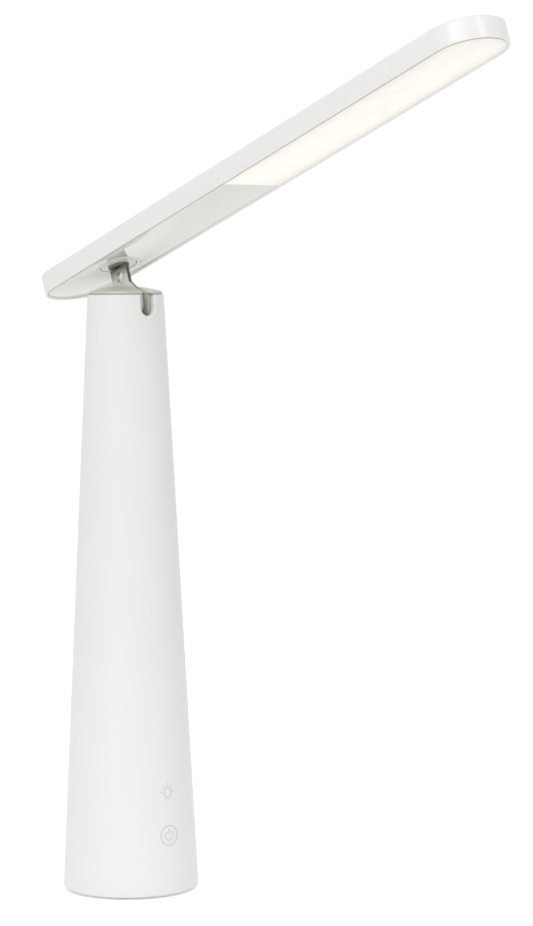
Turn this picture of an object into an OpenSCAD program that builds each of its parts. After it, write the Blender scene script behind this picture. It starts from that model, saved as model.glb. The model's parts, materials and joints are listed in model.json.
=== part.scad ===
// Folding cordless desk lamp: a slim slab head with an edge-lit panel, on a metal
// blade arm that pivots in a slot at the top of a tapered round column.
// Millimetres. The origin is the middle of the foot pad's underside, +Z is up and
// the lamp faces -Y: its slot, its touch icons and the lit end of its head.

/* [Column] */
// Height of the column's rim above the table
column_h = 280; // [250:1:320]
// Diameter that the tapered wall would have at table level
column_base_d = 64; // [58:0.5:76]
// Diameter of the rim
column_top_d = 35.6; // [35:0.1:39]
// Thickness of the column's wall
column_wall = 3; // [2.4:0.1:3.4]
// Radius of the rounded edge at the foot of the column
column_edge_r = 1; // [0.4:0.1:2]

/* [Base] */
// Thickness of the foot pad
pad_t = 1.6; // [1.2:0.1:2.4]
// How far the foot pad holds the column off the table
pad_stand = 1; // [0.5:0.1:1.1]
// Width of the base cover's rim round the foot pad
pad_rim = 1.55; // [1:0.05:6]
// Thickness of the base cover
cover_t = 3; // [2.4:0.1:4]
// Thickness of the base weight
weight_t = 12; // [8:0.5:14]
// Gap between the base weight and the column's wall
weight_gap = 1.2; // [0.6:0.1:3]
// Number of screws that hold the base
base_screw_count = 3; // [3:1:3]
// Distance of the base screws from the base weight's edge
base_screw_edge = 4; // [3.6:0.1:4.6]

/* [Top slot and cap] */
// Width of the arm's slot in the column's wall
slot_w = 7.6; // [7:0.1:9]
// Width of the bevel round the slot
slot_bevel = 0.8; // [0.4:0.1:1.2]
// How far the cap's edge is set in from the column's face
cap_inset = 0.7; // [0.3:0.1:1]
// Thickness of the cap at its edge
cap_edge_t = 1.5; // [1.2:0.1:2.5]
// Rise of the cap's shallow dome above its edge
cap_dome = 2.5; // [2:0.1:4]

/* [Fold hinge] */
// Depth of the hinge axis below the rim
pivot_drop = 4.2; // [3.6:0.1:5]
// Distance of the hinge axis in front of the column's axis
pivot_forward = 0.8; // [0:0.1:1.5]
// Diameter of the hinge pin
pin_d = 3; // [2.5:0.1:3.5]
// Length of the hinge pin
pin_len = 23; // [18:0.5:24]
// Outer diameter of the friction washers
washer_d = 8.8; // [7:0.1:9.4]
// Thickness of a friction washer
washer_t = 0.9; // [0.6:0.1:1.1]
// Pressed height of a spring washer
spring_h = 0.85; // [0.7:0.05:1]
// Tilt of the head above level, as the lamp stands
rest_tilt = 19; // [5:1:25]
// Most tilt of the head above level
top_tilt = 40; // [30:1:42]
// Angle between the head and the upright, when it is folded down
fold_rise = 3.5; // [3.2:0.1:6]

/* [Arm] */
// Gap between the column's rim and the head when it is folded down
fold_space = 1.6; // [1.5:0.1:3]
// Thickness of the blade
blade_t = 2; // [1.6:0.1:2.4]
// Width of the blade's neck
neck_w = 12.6; // [11:0.1:13]
// Radius of the blade's fin, which shows in the slot
fin_r = 12; // [11:0.1:12.6]
// Height of the fin's shoulder on the neck
fin_shoulder = 9; // [7.5:0.1:10]
// Height of the fin's front corner above the hinge axis
fin_top = 2.3; // [1:0.1:4]
// Diameter of the window in the neck
window_d = 5; // [3:0.1:6]
// Distance of the window from the hinge axis
window_up = 13.1; // [12:0.1:13.6]
// Thickness of the flat lead on the blade
ribbon_t = 0.6; // [0.4:0.1:0.7]
// Width of the flat lead
ribbon_w = 2; // [1.4:0.1:2.2]

/* [Swivel] */
// Outer diameter of the arm's spigot
spigot_d = 7; // [6:0.1:8]
// Bore of the spigot
spigot_bore = 4; // [3.8:0.1:4.4]
// Diameter of the dark collar
collar_d = 10; // [9:0.1:12]
// Height of the dark collar
collar_h = 1; // [0.8:0.1:1.6]
// Diameter of the swivel disc
disc_d = 17; // [14:0.1:18]
// Outer diameter of the trim ring round the disc
ring_d = 21; // [20:0.1:24]
// Thickness of the swivel seat plate
seat_t = 1.2; // [1:0.1:1.4]
// Side of the swivel seat plate
seat_side = 25; // [24:0.5:27]

/* [Head] */
// Length of the head
head_len = 319.5; // [290:0.5:340]
// Length of the head behind the arm
head_tail = 49; // [40:0.5:52]
// Width of the head
head_w = 35.5; // [34:0.5:42]
// Thickness of the head
head_t = 9.5; // [9.2:0.1:12]
// Radius of the head's four corners, seen from above
head_corner_r = 17; // [12:0.5:17]
// Radius of the head's top edge
head_edge_r = 0.5; // [0.3:0.1:1.6]
// Thickness of the head shell's rim
rim_t = 1.2; // [1:0.1:1.6]
// Width of the ledge that the underside plates seat against
ledge_w = 0.8; // [0.6:0.1:1.2]
// Thickness of the head shell's top
roof_t = 1.6; // [1.2:0.1:1.8]
// How deep the underside plates sit inside the rim
plate_inset = 0.3; // [0.1:0.1:0.6]
// Thickness of the under cover and of the diffuser
plate_t = 1.5; // [1.2:0.1:2]

/* [Light] */
// Distance from the arm to the start of the light panel
panel_start = 105.5; // [90:0.5:130]
// Thickness of the light guide
guide_t = 2.5; // [2:0.1:2.6]
// Thickness of the reflector sheet
reflector_t = 0.3; // [0.2:0.1:0.4]
// Thickness of the metal back plate
back_plate_t = 0.8; // [0.5:0.1:1]
// Spacing of the light-emitting diodes
led_pitch = 6; // [4:0.5:9]
// Length of one diode
led_len = 3; // [2:0.1:3.5]
// Depth of one diode, from its board to the guide
led_depth = 0.8; // [0.6:0.1:1]
// Thickness of the diodes' board
led_board_t = 0.8; // [0.6:0.1:1]
// Spacing of the ribs above the light panel
rib_pitch = 30; // [20:1:40]

/* [Electronics] */
// Diameter of one battery cell
cell_d = 18.4; // [14:0.1:18.6]
// Length of one battery cell
cell_len = 65; // [50:0.5:70]
// Height of the lower touch pad above the table
touch_low_z = 29; // [28:0.5:32]
// Height of the upper touch pad above the table
touch_high_z = 49.5; // [44:0.5:56]
// Diameter of the touch pads
touch_pad_d = 9; // [6:0.5:10]
// Width of the charging socket
socket_w = 9; // [8.6:0.1:9.4]
// Height of the charging socket
socket_h = 3.2; // [3:0.1:3.6]
// Diameter of the main lead
lead_d = 2.4; // [1.6:0.1:2.6]
// Diameter of the thin wires
wire_d = 1.6; // [1:0.1:1.7]

/* [Clearances] */
// Radial clearance of a turning fit
run_fit = 0.05; // [0.03:0.01:0.08]
// Gap beside a face that slides on another
slide_gap = 0.05; // [0.03:0.01:0.1]
// Gap round a piece that drops into a seat
seat_gap = 0.25; // [0.2:0.05:0.35]
// Seam between the underside plates and the head shell's rim
plate_seam = 0.12; // [0.08:0.01:0.2]
// Gap between the moving arm and what it passes
sweep_gap = 0.6; // [0.5:0.1:1]
// Gap below the neck in the column's slot when the head is folded down
fold_gap = 0.4; // [0.3:0.1:1]
// Space below the fin inside the hinge block
fin_gap = 1.8; // [1:0.1:4]

/* [Hidden] */
$fn = 96;

// a cut runs this far past the faces that it opens
past = 1;

// column
base_r = column_base_d / 2;
top_r = column_top_d / 2;
taper = atan((base_r - top_r) / column_h);
function wall_r(z) = base_r - (base_r - top_r) * z / column_h;
function bore_r(z) = wall_r(z) - column_wall;

// base stack, upwards from the table
cover_z = pad_stand;
weight_z = cover_z + cover_t;
weight_top = weight_z + weight_t;
weight_r = bore_r(weight_top) - weight_gap;
cover_r = bore_r(weight_z) - seat_gap;
pad_r = cover_r - pad_rim;
boss_h = 10;
boss_r = 3.4;
base_screw_circle_r = weight_r - base_screw_edge;
base_screw_bite = 8;
pilot_r = 1.2;
base_screw_r = 1.5;
base_head_r = 2.8;
base_head_h = 1.2;

// hinge
pivot_z = column_h - pivot_drop;
block_h = pivot_drop + fin_r + fin_gap;
block_z = column_h - block_h;
block_r = top_r - column_wall - seat_gap;
web_t = 3;
web_hole_r = 8.4;
neck_half = neck_w / 2;
arm_len = top_r - pivot_forward + fold_space;
hinge_slot_w = blade_t + 2 * (slide_gap + washer_t + spring_h);
cap_r = top_r - cap_inset;
// lowest point of the column's slot: it just clears the neck of the folded arm
slot_low = pivot_z + (top_r - pivot_forward) * tan(fold_rise) - neck_half / cos(fold_rise)
    - fold_gap;
// how far behind the column's axis the neck's rear edge reaches, at a tilt and a height
function neck_back(tilt, up) =
    neck_half * cos(tilt) + (up + neck_half * sin(tilt)) * tan(tilt) - pivot_forward;
cap_top_z = column_h + cap_edge_t + cap_dome;
cap_slot_back = neck_back(top_tilt, pivot_drop + cap_edge_t + cap_dome / 2) + sweep_gap;
block_slot_back = neck_back(top_tilt, pivot_drop) + sweep_gap;
hinge_screw_x = 9.6;
hinge_screw_y = 5.2;
hinge_screw_r = 1.25;
hinge_head_r = 2.4;
hinge_head_h = 1.6;
hinge_screw_short = 0.4;
screw_clear = 0.15;
spring_t = 0.4;
spring_r = 3.5;

// arm, in its own frame: its axis rises from the hinge, and -Y points to the head's tip
blade_top = arm_len + plate_inset - collar_h;
hub_margin = 1.6;
hub_r = neck_half + hub_margin;
fin_low_angle = 40;
fin_foot = 7.1;
ribbon_start = 5;
ribbon_back = 4.6;
ribbon_turn_h = 1;
ribbon_window_gap = 0.2;
ribbon_end_gap = 0.3;
ribbon_turn_z = window_up + window_d / 2 + ribbon_window_gap;

// head, in its own frame: z = 0 is the rim's lower edge, and the arm meets it at x = y = 0
head_tip = head_len - head_tail;
plate_top = plate_inset + plate_t;
disc_gap = 0.3;
ring_proud = 0.15;
roof_z = head_t - roof_t;
seat_rise = 1.2;
seat_z = plate_top + seat_rise;
spigot_space = 0.6;
spigot_top = roof_z - spigot_space;
clip_t = 0.8;
clip_edge = 0.5;
swivel_washer_t = 0.5;
washer_z = seat_z + seat_t + slide_gap;
clip_z = spigot_top - clip_edge - clip_t;
clip_r = 5;
clip_groove = 0.6;
clip_mouth = 3;
swivel_washer_r = 5.6;
cavity_inset = rim_t + ledge_w;
guide_z = plate_top;
reflector_z = guide_z + guide_t;
back_plate_z = reflector_z + reflector_t;
rib_z = back_plate_z + back_plate_t;
rib_t = 1.6;
panel_margin = 3;
led_x = -(head_w / 2 - cavity_inset - seat_gap);
led_space = 0.1;
guide_x = led_x + led_board_t + led_depth + led_space;
led_h = 1.4;
led_lift = 0.5;
led_board_h = 2.4;
led_board_tail = 4;
led_first = panel_start + panel_margin + led_len;
led_last = head_tip - head_corner_r - led_len;
led_count = floor((led_last - led_first) / led_pitch) + 1;
seat_screw_edge = 3;
seat_screw_at = seat_side / 2 - seat_screw_edge;
seat_screw_r = 0.9;
seat_head_r = 1.8;
seat_head_h = 0.9;
seat_boss_r = 2.4;
seat_hole_roof = 0.3;
seat_screw_short = 0.8;
head_lead_lift = 0.9;
head_lead_aside = 3;
head_lead_turn_y = -30;
head_lead_slant = 8;
head_lead_start = 2;

// electronics
board_t = 1.6;
board_w = 23;
board_back_y = 16;
board_front_y = -10;
board_tongue_w = 12;
board_tongue_gap = 3;
board_rise = 4;
board_room = 4.4;
board_z = weight_top + board_rise;
plate_z = board_z + board_t + board_room;
holder_t = 2;
cell_gap = 0.2;
cell_space = 0.6;
cell_x = (cell_d + cell_space) / 2;
cell_y = 5;
cell_z = plate_z + holder_t;
cup_wall = 1.4;
cup_h = 12;
cup_r = cell_d / 2 + cell_gap + cup_wall;
terminal_h = 0.8;
terminal_r = 3;
tab_w = 7;
tab_t = 0.3;
tab_end = 4;
touch_board_t = 1.2;
touch_board_w = 16;
touch_board_margin = 6.5;
touch_board_gap = 0.8;
touch_board_low = touch_low_z - touch_board_margin;
touch_board_high = touch_high_z + touch_board_margin;
touch_board_y = touch_board_gap
    - sqrt(pow(bore_r(touch_board_high), 2) - pow(touch_board_w / 2, 2));
socket_z = board_z + board_t;
socket_mid_z = socket_z + socket_h / 2;
socket_recess = 1.4;
socket_mouth_y = wall_r(socket_mid_z) - socket_recess;
socket_depth = 8;
socket_back_t = 1.5;
socket_skin = 0.3;
socket_tongue_t = 0.7;
socket_tongue_w = 6.4;
socket_tongue_in = 1;
leg_x = 12.6;
leg_w = 4;
leg_depth = 6;
ear_boss_gap = 0.3;
ear_x = 20;
ear_y = -(boss_r + leg_depth / 2 + ear_boss_gap);
ear_t = 2;
post_r = 1.6;
post_x = 9;
post_y = 9.6;
tongue_w = 10;
holder_screw_len = 6;
holder_screw_bite = 5;
holder_head_r = 2.2;
holder_head_h = 1.3;
touch_lead_z = touch_board_low + 1.9;
touch_lead_y = -8;
lead_low_y = 14;
lead_cup_y = 16;
lead_cell_y = 15.4;
lead_rise = 2;
lead_web_run = 8;
lead_end_gap = 0.5;

// --- shapes used more than once ---

// places its children in the arm's frame
module in_arm() {
    translate([0, -pivot_forward, pivot_z])
        rotate([-rest_tilt, 0, 0]) children();
}

// places its children in the head's frame
module in_head() {
    in_arm() translate([0, 0, arm_len]) children();
}

// flat ring or washer
module ring(outer_r, inner_r, h) {
    difference() {
        cylinder(r = outer_r, h = h);
        translate([0, 0, -past]) cylinder(r = inner_r, h = h + 2 * past);
    }
}

// shallow coned washer
module cone_washer(outer_r, inner_r, t, h) {
    rotate_extrude()
        polygon([[inner_r, h - t], [outer_r, 0], [outer_r, t], [inner_r, h]]);
}

// pan-head screw with a cross recess: its shank rises from z = 0, its head hangs below
module screw(shank_r, shank_len, head_r, head_h) {
    recess = head_r * 0.45;
    difference() {
        union() {
            cylinder(r = shank_r, h = shank_len, $fn = 32);
            translate([0, 0, -head_h]) cylinder(r = head_r, h = head_h, $fn = 32);
        }
        for (turn = [0, 90])
            rotate([0, 0, turn])
                translate([-head_r * 0.6, -recess / 2, -head_h - past])
                    cube([head_r * 1.2, recess, head_h / 2 + past]);
    }
}

// run of wire along a list of points
module wire(points, d) {
    for (i = [0 : len(points) - 2]) {
        run = points[i + 1] - points[i];
        translate(points[i])
            rotate([0, acos(run[2] / norm(run)), atan2(run[1], run[0])])
                cylinder(d = d, h = norm(run), $fn = 24);
    }
    // each bend is a ball, a little fuller than the wire
    for (i = [1 : len(points) - 2])
        translate(points[i]) sphere(d = d * 1.06, $fn = 24);
}

// the head's plan outline, drawn in by inset
module head_outline(inset) {
    r = head_corner_r - inset;
    across = head_w / 2 - head_corner_r;
    ahead = head_tip - head_corner_r;
    behind = head_tail - head_corner_r;
    translate([-across - r, -ahead]) square([2 * (across + r), ahead + behind]);
    translate([-across, -ahead - r]) square([2 * across, ahead + behind + 2 * r]);
    for (x = [-across, across], y = [-ahead, behind])
        translate([x, y]) circle(r = r);
}

// half of an upright section with a rounded top edge
module edge_section(half, h, edge) {
    square([half, h - edge]);
    square([half - edge, h]);
    translate([half - edge, h - edge]) circle(r = edge);
}

// the head's full form, with its top edge rounded
module head_form() {
    across = head_w / 2 - head_corner_r;
    ahead = head_tip - head_corner_r;
    behind = head_tail - head_corner_r;
    for (side = [0, 1])
        mirror([side, 0, 0])
            translate([0, behind, 0])
                rotate([90, 0, 0])
                    linear_extrude(ahead + behind)
                        edge_section(head_w / 2, head_t, head_edge_r);
    translate([-across, 0, 0])
        rotate([90, 0, 90])
            linear_extrude(2 * across) {
                edge_section(head_tail, head_t, head_edge_r);
                mirror([1, 0]) edge_section(head_tip, head_t, head_edge_r);
            }
    for (x = [-across, across], y = [-ahead, behind])
        translate([x, y, 0])
            rotate_extrude() edge_section(head_corner_r, head_t, head_edge_r);
}

// what lies over the light panel, drawn in by inset
module panel_outline(inset, start) {
    intersection() {
        head_outline(inset);
        translate([-head_w / 2, -head_tip]) square([head_w, head_tip - start]);
    }
}

// --- column ---

// the arm's slot: straight above, round below, bevelled at the outer face. It leans back with
// the wall, and its section's y points out through the wall.
module column_slot() {
    half = slot_w / 2;
    wide = half + 2 * slot_bevel;
    deep = column_wall + 2 * past;
    middle_z = slot_low + half;
    face_y = sqrt(pow(wall_r(middle_z), 2) - half * half);
    translate([0, -face_y, middle_z]) rotate([-taper, 0, 0]) {
        rotate([90, 0, 0]) rotate_extrude()
            polygon([[0, -deep], [half, -deep], [half, -slot_bevel], [wide, slot_bevel],
                [0, slot_bevel]]);
        linear_extrude(column_h - slot_low) mirror([0, 1])
            polygon([[-half, -deep], [half, -deep], [half, -slot_bevel], [wide, slot_bevel],
                [-wide, slot_bevel], [-half, -slot_bevel]]);
    }
}

module screw_boss_places() {
    for (i = [0 : base_screw_count - 1])
        rotate([0, 0, 360 / base_screw_count * i])
            translate([base_screw_circle_r, 0, 0]) children();
}

// where the battery holder's screws enter the top of the weight
module holder_screw_places() {
    for (side = [-1, 1])
        translate([side * ear_x, ear_y, weight_top]) children();
}

module hinge_screw_places() {
    for (side = [-1, 1])
        translate([side * hinge_screw_x, hinge_screw_y, 0]) children();
}

// opening for the charging plug
module socket_opening(grow) {
    h = socket_h + 2 * grow;
    w = socket_w + 2 * grow;
    translate([0, 0, socket_mid_z]) rotate([-90, 0, 0])
        linear_extrude(base_r + past) {
            square([w - h, h], center = true);
            for (side = [-1, 1]) translate([side * (w - h) / 2, 0]) circle(d = h, $fn = 32);
        }
}

module column_shell() color("#f1f1ee") {
    low = pad_stand;
    edge_z = low + column_edge_r;
    edge_x = wall_r(edge_z) - column_edge_r / cos(taper);
    difference() {
        union() {
            difference() {
                // outer taper, with a rounded foot that runs smoothly into it
                rotate_extrude() {
                    polygon([[0, low], [edge_x, low], [edge_x, edge_z],
                        [edge_x + column_edge_r * cos(taper), edge_z + column_edge_r * sin(taper)],
                        [top_r, column_h], [0, column_h]]);
                    translate([edge_x, edge_z]) circle(r = column_edge_r);
                }
                rotate_extrude()
                    polygon([[0, low - past], [bore_r(low - past), low - past],
                        [bore_r(column_h + past), column_h + past], [0, column_h + past]]);
            }
            // web that carries the hinge block
            intersection() {
                translate([0, 0, block_z - web_t]) ring(wall_r(block_z), web_hole_r, web_t);
                cylinder(r1 = base_r - column_wall / 2, r2 = top_r - column_wall / 2, h = column_h);
            }
            // bosses for the base screws, each on a rib from the wall
            screw_boss_places() {
                translate([0, 0, weight_top]) cylinder(r = boss_r, h = boss_h);
                reach = bore_r(weight_top) + column_wall / 2 - base_screw_circle_r;
                translate([0, -column_wall / 2, weight_top]) cube([reach, column_wall, boss_h]);
            }
        }
        column_slot();
        translate([0, 0, block_z - web_t - past])
            hinge_screw_places() cylinder(r = hinge_screw_r + screw_clear, h = web_t + 2 * past);
        translate([0, 0, weight_top - past])
            screw_boss_places() cylinder(r = pilot_r, h = boss_h);
        socket_opening(seat_gap);
    }
}

module foot_pad() color("#3c3d3e")
    cylinder(r = pad_r, h = pad_t);

module base_cover() color("#e4e4e1")
    translate([0, 0, cover_z]) difference() {
        cylinder(r = cover_r, h = cover_t);
        translate([0, 0, -past]) cylinder(r = pad_r + seat_gap, h = pad_t - pad_stand + past);
        screw_boss_places() {
            translate([0, 0, -past])
                cylinder(r = base_screw_r + screw_clear, h = cover_t + 2 * past);
            translate([0, 0, -past])
                cylinder(r = base_head_r + screw_clear, h = pad_t - pad_stand + base_head_h + past);
        }
    }

module base_weight() color("#6d6f70")
    difference() {
        translate([0, 0, weight_z]) cylinder(r = weight_r, h = weight_t);
        translate([0, 0, weight_z - past])
            screw_boss_places() cylinder(r = base_screw_r + screw_clear, h = weight_t + 2 * past);
        holder_screw_places()
            translate([0, 0, -holder_screw_len]) cylinder(r = pilot_r, h = holder_screw_len + past);
    }

// the screws' shanks cut their own thread in the pilot holes
module base_screws() color("#b4b6b8") {
    head_z = pad_t + base_head_h;
    grip = weight_top - head_z;
    screw_boss_places() {
        translate([0, 0, head_z]) screw(base_screw_r, grip, base_head_r, base_head_h);
        translate([0, 0, weight_top]) cylinder(r = pilot_r, h = base_screw_bite, $fn = 32);
    }
}

// --- hinge ---

module top_cap() color("#a5a39c") {
    difference() {
        translate([0, 0, column_h]) union() {
            cylinder(r = cap_r, h = cap_edge_t);
            // the dome is the top of a large sphere
            dome_r = (cap_r * cap_r + cap_dome * cap_dome) / (2 * cap_dome);
            translate([0, 0, cap_edge_t]) intersection() {
                cylinder(r = cap_r, h = cap_dome + past);
                translate([0, 0, cap_dome - dome_r]) sphere(r = dome_r, $fn = 128);
            }
        }
        arm_slot(cap_slot_back, column_h - past, cap_top_z + past);
        translate([0, 0, column_h - past])
            hinge_screw_places() cylinder(r = hinge_screw_r, h = cap_edge_t + past);
    }
}

// slot for the arm through the cap and the block, with a round rear end
module arm_slot(back, low, high) {
    half = hinge_slot_w / 2;
    translate([-half, -top_r - past, low])
        cube([hinge_slot_w, top_r + past + back - half, high - low]);
    translate([0, back - half, low]) cylinder(r = half, h = high - low, $fn = 32);
}

module hinge_block() color("#8f908e")
    difference() {
        translate([0, 0, block_z]) cylinder(r = block_r, h = block_h);
        arm_slot(block_slot_back, block_z - past, column_h + past);
        translate([0, 0, block_z - past])
            hinge_screw_places() cylinder(r = hinge_screw_r + screw_clear, h = block_h + 2 * past);
        translate([-block_r, -pivot_forward, pivot_z])
            rotate([0, 90, 0]) cylinder(d = pin_d, h = 2 * block_r);
    }

module hinge_pin() color("#c3c5c7")
    translate([-pin_len / 2, -pivot_forward, pivot_z])
        rotate([0, 90, 0]) cylinder(d = pin_d, h = pin_len);

// places its children on both sides of the blade, z outwards along the pin
module beside_blade(out) {
    for (side = [-1, 1])
        translate([side * out, -pivot_forward, pivot_z])
            rotate([0, side * 90, 0]) children();
}

module friction_washers() color("#d9d2bd")
    beside_blade(blade_t / 2 + slide_gap) ring(washer_d / 2, pin_d / 2, washer_t);

module spring_washers() color("#a9abad")
    beside_blade(blade_t / 2 + slide_gap + washer_t)
        cone_washer(spring_r, pin_d / 2, spring_t, spring_h);

module hinge_screws() color("#b4b6b8")
    translate([0, 0, block_z - web_t])
        hinge_screw_places()
            screw(hinge_screw_r, web_t + block_h + cap_edge_t - hinge_screw_short,
                hinge_head_r, hinge_head_h);

// --- electronics in the column ---

module battery_holder() color("#4a4c4e")
    difference() {
        union() {
            for (side = [-1, 1]) {
                translate([side * cell_x, cell_y, plate_z])
                    cylinder(r = cup_r, h = holder_t + cup_h);
                // leg and screw ear
                leg_low_x = side * (leg_x + leg_w / 2) - leg_w / 2;
                translate([leg_low_x, ear_y - leg_depth / 2, weight_top])
                    cube([leg_w, leg_depth, plate_z + holder_t - weight_top]);
                translate([side > 0 ? leg_x : -ear_x, ear_y - leg_depth / 2, weight_top])
                    cube([ear_x - leg_x, leg_depth, ear_t]);
                translate([side * ear_x, ear_y, weight_top])
                    cylinder(r = leg_depth / 2, h = ear_t);
                // posts that hold the control board
                translate([side * post_x, ear_y, socket_z])
                    cylinder(r = post_r, h = plate_z - socket_z);
            }
            translate([0, post_y, socket_z]) cylinder(r = post_r, h = plate_z - socket_z);
            // tongue that backs the touch board
            translate([-tongue_w / 2, touch_board_y + touch_board_t, plate_z])
                cube([tongue_w, cell_y - touch_board_y - touch_board_t, holder_t]);
            translate([-leg_x - leg_w / 2, ear_y - leg_depth / 2, plate_z])
                cube([2 * leg_x + leg_w, leg_depth, holder_t]);
        }
        for (side = [-1, 1]) {
            translate([side * cell_x, cell_y, cell_z])
                cylinder(d = cell_d + 2 * cell_gap, h = cup_h + past);
            translate([side * cell_x, cell_y, plate_z - past])
                cylinder(r = wire_d / 2 + seat_gap, h = holder_t + 2 * past);
        }
        holder_screw_places()
            translate([0, 0, -past]) cylinder(r = pilot_r + screw_clear, h = ear_t + 2 * past);
    }

module holder_screws() color("#b4b6b8")
    holder_screw_places()
        translate([0, 0, ear_t])
            mirror([0, 0, 1])
                screw(pilot_r, ear_t + holder_screw_bite, holder_head_r, holder_head_h);

module battery_cells() color("#3f7fb5")
    for (side = [-1, 1])
        translate([side * cell_x, cell_y, cell_z]) {
            cylinder(d = cell_d, h = cell_len);
            cylinder(r = terminal_r, h = cell_len + terminal_h, $fn = 32);
        }

module cell_tab() color("#cfd0cc")
    translate([-cell_x - tab_end, cell_y - tab_w / 2, cell_z + cell_len + terminal_h])
        cube([2 * (cell_x + tab_end), tab_w, tab_t]);

// wires that rise from the control board to the cells
module battery_leads() color("#c8433a")
    for (side = [-1, 1])
        translate([side * cell_x, cell_y, socket_z])
            cylinder(d = wire_d, h = cell_z - socket_z, $fn = 24);

module touch_lead() color("#f5f5f2")
    wire([[0, touch_board_y + touch_board_t, touch_lead_z], [0, touch_lead_y, touch_lead_z],
        [0, touch_lead_y, socket_z]], wire_d);

module control_board() color("#2f7a4d") {
    tongue_end = socket_mouth_y - board_tongue_gap;
    translate([-board_w / 2, board_front_y, board_z])
        cube([board_w, board_back_y - board_front_y, board_t]);
    translate([-board_tongue_w / 2, board_back_y - past, board_z])
        cube([board_tongue_w, tongue_end - board_back_y + past, board_t]);
    // driver coil and chips, on a grid that the board's width sets
    step = board_w / 23;
    translate([-4 * step, 4 * step, socket_z]) cylinder(r = 3 * step, h = 3 * step, $fn = 32);
    translate([2 * step, step, socket_z]) cube([6 * step, 6 * step, step]);
    translate([-8 * step, -4 * step, socket_z]) cube([5 * step, 4 * step, step]);
    translate([2 * step, -8 * step, socket_z]) cube([4 * step, 5 * step, 1.2 * step]);
}

module charging_socket() color("#b9bcbf") {
    h = socket_h - 2 * socket_skin;
    w = socket_w - 2 * socket_skin;
    back_y = socket_mouth_y - socket_depth;
    difference() {
        intersection() {
            socket_opening(0);
            translate([-base_r, back_y, 0]) cube([2 * base_r, socket_depth, column_h]);
        }
        translate([0, back_y + socket_back_t, socket_mid_z]) rotate([-90, 0, 0])
            linear_extrude(socket_depth) {
                square([w - h, h], center = true);
                for (side = [-1, 1]) translate([side * (w - h) / 2, 0]) circle(d = h, $fn = 32);
            }
    }
    // contact tongue
    translate([-socket_tongue_w / 2, back_y + socket_tongue_in, socket_mid_z - socket_tongue_t / 2])
        cube([socket_tongue_w, socket_depth - 2 * socket_tongue_in, socket_tongue_t]);
}

module touch_board() color("#2f7a4d")
    translate([-touch_board_w / 2, touch_board_y, touch_board_low])
        cube([touch_board_w, touch_board_t, touch_board_high - touch_board_low]);

// conductive foam pads between the touch board and the wall
module touch_pads() color("#55585a")
    intersection() {
        for (z = [touch_low_z, touch_high_z])
            translate([0, touch_board_y, z])
                rotate([90, 0, 0]) cylinder(d = touch_pad_d, h = base_r, $fn = 48);
        rotate_extrude()
            polygon([[0, 0], [bore_r(0) - slide_gap, 0], [bore_r(column_h) - slide_gap, column_h],
                [0, column_h]]);
    }

module main_lead() color("#f5f5f2")
    wire([[0, lead_low_y, socket_z], [0, lead_low_y, socket_z + lead_rise],
        [0, lead_cup_y, cell_z], [0, lead_cell_y, cell_z + cell_len],
        [0, web_hole_r - lead_d, block_z - web_t - lead_web_run],
        [0, web_hole_r - lead_d, block_z - lead_end_gap]], lead_d);

// --- arm ---

// side view of the blade: x is towards the head's tip, y is along the arm
module blade_outline() {
    translate([-neck_half, 0]) square([neck_w, blade_top]);
    circle(r = hub_r);
    intersection() {
        circle(r = fin_r);
        polygon([[0, 0], [0, fin_shoulder], [neck_half, fin_shoulder], [fin_r, fin_top],
            [fin_r + past, 0], [fin_r + past, -fin_r * sin(fin_low_angle)],
            [fin_r * cos(fin_low_angle), -fin_r * sin(fin_low_angle)], [0, -fin_foot]]);
    }
}

module hinge_arm() color("#9c9b95")
    in_arm() difference() {
        union() {
            translate([blade_t / 2, 0, 0]) rotate([90, 0, -90])
                linear_extrude(blade_t) difference() {
                    blade_outline();
                    circle(r = pin_d / 2 + run_fit);
                    translate([0, window_up]) circle(d = window_d);
                }
            translate([0, 0, blade_top]) difference() {
                cylinder(d = spigot_d, h = arm_len + spigot_top - blade_top);
                translate([0, 0, -past]) cylinder(d = spigot_bore, h = arm_len + head_t);
            }
        }
        // groove for the clip
        translate([0, 0, arm_len + clip_z]) ring(spigot_d, spigot_d / 2 - clip_groove, clip_t);
    }

// flat white lead, bonded to the blade's right face behind the window, then led up the spigot
module arm_lead() color("#f7f7f4")
    in_arm() {
        translate([blade_t / 2, ribbon_back - ribbon_w / 2, ribbon_start])
            cube([ribbon_t, ribbon_w, ribbon_turn_z + ribbon_turn_h - ribbon_start]);
        translate([blade_t / 2, -ribbon_w / 2, ribbon_turn_z])
            cube([ribbon_t, ribbon_back + ribbon_w, ribbon_turn_h]);
        translate([blade_t / 2, -ribbon_w / 2, ribbon_turn_z])
            cube([ribbon_t, ribbon_w, arm_len + spigot_top - ribbon_turn_z - ribbon_end_gap]);
    }

module swivel_collar() color("#2b2b2b")
    in_arm() translate([0, 0, blade_top]) ring(collar_d / 2, spigot_d / 2, collar_h);

module swivel_disc() color("#dededa")
    in_head() translate([0, 0, plate_inset])
        ring(disc_d / 2, spigot_d / 2, seat_z - plate_inset - slide_gap);

module swivel_washer() color("#d9d2bd")
    in_head() translate([0, 0, washer_z])
        ring(swivel_washer_r, spigot_d / 2, swivel_washer_t);

module swivel_spring() color("#a9abad") {
    low = washer_z + swivel_washer_t;
    in_head() translate([0, 0, low]) cone_washer(clip_r, spigot_d / 2, spring_t, clip_z - low);
}

module swivel_clip() color("#7f8284")
    in_head() translate([0, 0, clip_z]) difference() {
        ring(clip_r, spigot_d / 2 - clip_groove, clip_t);
        // the clip's open mouth
        translate([-clip_mouth / 2, 0, -past])
            cube([clip_mouth, clip_r + past, clip_t + 2 * past]);
    }

// --- head ---

module seat_screw_places() {
    for (x = [-seat_screw_at, seat_screw_at], y = [-seat_screw_at, seat_screw_at])
        translate([x, y, 0]) children();
}

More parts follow.
